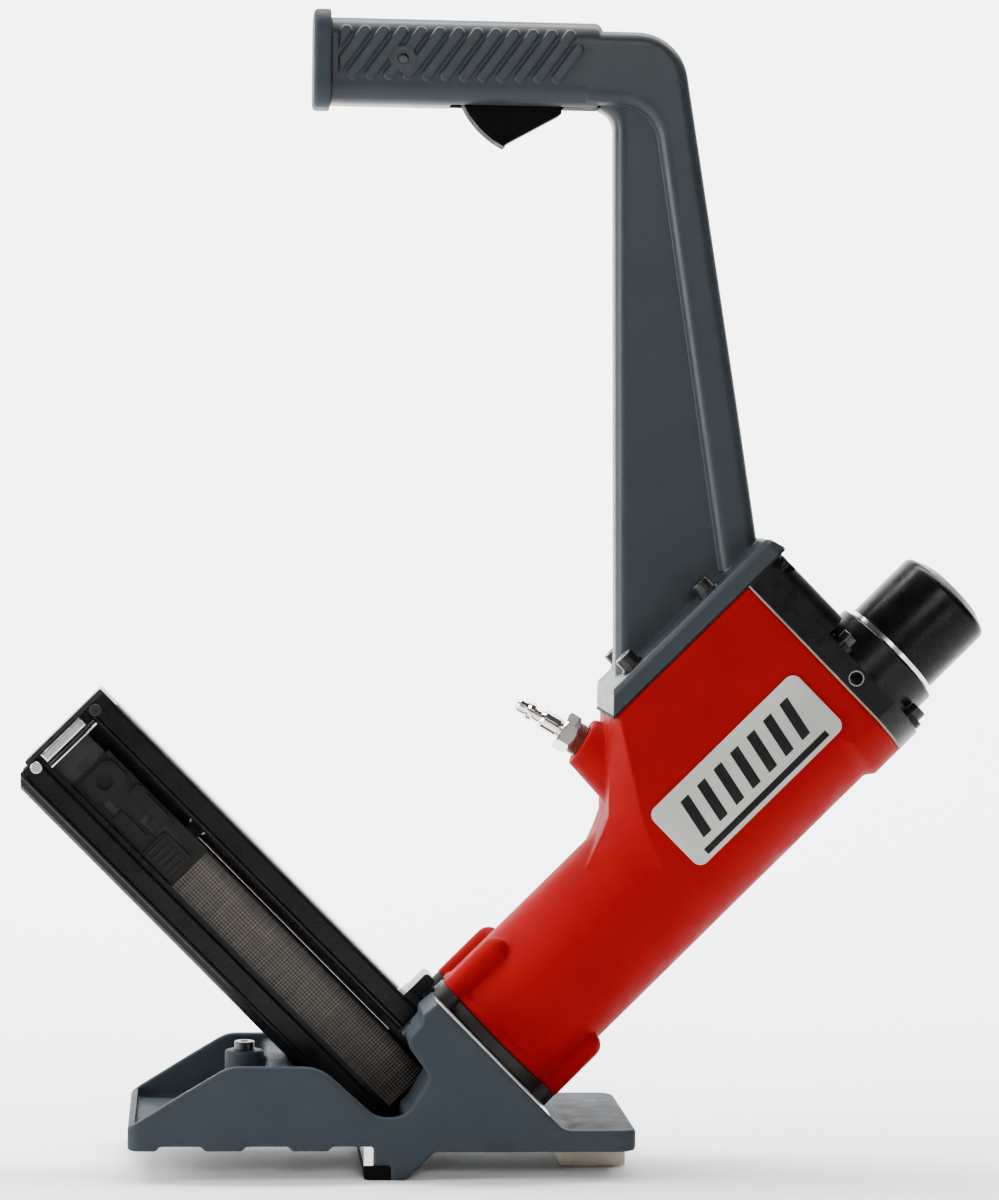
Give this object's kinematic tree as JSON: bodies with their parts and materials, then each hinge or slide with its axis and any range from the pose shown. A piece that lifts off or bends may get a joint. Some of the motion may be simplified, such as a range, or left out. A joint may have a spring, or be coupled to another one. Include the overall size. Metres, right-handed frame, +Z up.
{
  "type": "flooring nailer",
  "caption": "Pneumatic flooring nailer with a 45 degree cylinder, striking cap, angled fastener magazine, upright handle with trigger, and a cast shoe.",
  "frame": {"origin": "on the floor under the middle of the tool's outline, standing on its lip and rear pad", "axes": "+Z up; -X towards the magazine and the floorboard in front; +X towards the striking cap; -Y the side with the magazine window and the badge"},
  "size_m": [0.4807, 0.11, 0.5719],
  "materials": {
    "grey_casting": "fine textured powder coat on cast aluminium",
    "red_casting": "satin red powder coat on cast aluminium",
    "black_casting": "satin black coat on cast aluminium",
    "black_anodised": "black anodised extrusion, satin",
    "black_oxide_steel": "black oxide",
    "bright_steel": "ground",
    "spring_steel": "drawn wire",
    "plated_steel": "bright plated, turned",
    "sealed_brass": "threads with red-brown sealant",
    "dark_rubber": "moulded",
    "black_rubber": "glossy moulded",
    "black_plastic": "moulded, satin",
    "grey_plastic": "moulded, matched to the casting",
    "pale_rubber": "moulded, matte",
    "gasket_fibre": "compressed fibre",
    "dark_gasket": "compressed fibre",
    "aluminium_plain": "machined",
    "badge_metal": "brushed plate with a black printed bar",
    "staple_wire": "coated wire, glued into a strip",
    "white_film": "printed film, left blank"
  },
  "bodies": {
    "frame": {"base_shoe": "grey_casting", "lip_tip": "black_plastic", "lip_strip": "bright_steel", "rear_pad": "pale_rubber", "boss_screw": "black_oxide_steel", "foot_ring": "dark_rubber", "cylinder_housing": "red_casting", "cylinder_sleeve": "aluminium_plain", "piston_bumper": "dark_rubber", "head_gasket": "gasket_fibre", "cylinder_head": "black_casting", "head_screws": "black_oxide_steel", "head_deep_screws": "black_oxide_steel", "head_collar": "black_casting", "head_bushing": "plated_steel", "badge_plate": "badge_metal", "inlet_bushing": "sealed_brass", "air_plug": "plated_steel", "handle": "grey_casting", "flange_gasket": "dark_gasket", "flange_washers": "black_oxide_steel", "flange_screws": "black_oxide_steel", "handle_end_cap": "grey_plastic", "end_cap_pin": "black_oxide_steel", "slot_cover": "black_plastic", "trigger_pin": "bright_steel", "trigger_valve_body": "sealed_brass", "magazine_channel": "black_anodised", "magazine_rail": "black_oxide_steel", "staple_strip": "staple_wire", "magazine_end": "black_oxide_steel", "magazine_end_bar": "bright_steel", "magazine_end_screw": "bright_steel", "magazine_top_screw": "black_oxide_steel", "magazine_bracket": "black_anodised", "bracket_screws": "black_oxide_steel", "magazine_label": "white_film", "housing_screws": "black_oxide_steel"},
    "strike": {"strike_cap": "black_rubber", "strike_stem": "bright_steel", "strike_washer": "bright_steel", "strike_spring": "spring_steel"},
    "driver": {"piston": "aluminium_plain", "piston_ring": "black_rubber", "driver_blade": "bright_steel"},
    "valve": {"head_valve": "black_plastic", "valve_spring": "spring_steel"},
    "trigger": {"trigger": "black_plastic", "trigger_spring": "spring_steel"},
    "trigger_stem": {"trigger_valve_stem": "bright_steel"},
    "pusher": {"pusher": "black_oxide_steel", "latch_pin": "bright_steel", "feed_spring": "spring_steel", "feed_roller": "black_plastic"},
    "latch": {"pusher_latch": "black_oxide_steel"}
  },
  "joints": [
    {"name": "strike_slide", "type": "slide", "parent": "frame", "child": "strike", "axis": [-0.7071, 0, -0.7071], "range_m": [0, 0.008], "stiffness_N_per_m": 1500, "springref_m": -0.012, "deforming": ["strike_spring"]},
    {"name": "driver_slide", "type": "slide", "parent": "frame", "child": "driver", "axis": [-0.7071, 0, -0.7071], "range_m": [0, 0.078]},
    {"name": "valve_slide", "type": "slide", "parent": "frame", "child": "valve", "axis": [0.7071, 0, 0.7071], "range_m": [0, 0.006], "stiffness_N_per_m": 1200, "springref_m": -0.01, "deforming": ["valve_spring"]},
    {"name": "trigger_hinge", "type": "hinge", "parent": "frame", "child": "trigger", "pos_m": [0.014, 0, 0.5465], "axis": [0, 1, 0], "range_deg": [0, 9], "stiffness_Nm_per_rad": 0.6, "springref_deg": -17.19, "deforming": ["trigger_spring"]},
    {"name": "trigger_stem_slide", "type": "slide", "parent": "frame", "child": "trigger_stem", "axis": [0, 0, 1], "range_m": [0, 0.004]},
    {"name": "pusher_slide", "type": "slide", "parent": "frame", "child": "pusher", "axis": [-0.7071, 0, 0.7071], "range_m": [0, 0.015], "stiffness_N_per_m": 15, "springref_m": -0.6},
    {"name": "latch_hinge", "type": "hinge", "parent": "pusher", "child": "latch", "pos_m": [-0.18268, 0, 0.18357], "axis": [0, 1, 0], "range_deg": [-12, 0], "stiffness_Nm_per_rad": 0.05, "springref_deg": 17.19}
  ],
  "couplings": [
    {"joint": "trigger_stem_slide", "follows": "trigger_hinge", "m_per_rad": 0.0252}
  ]
}
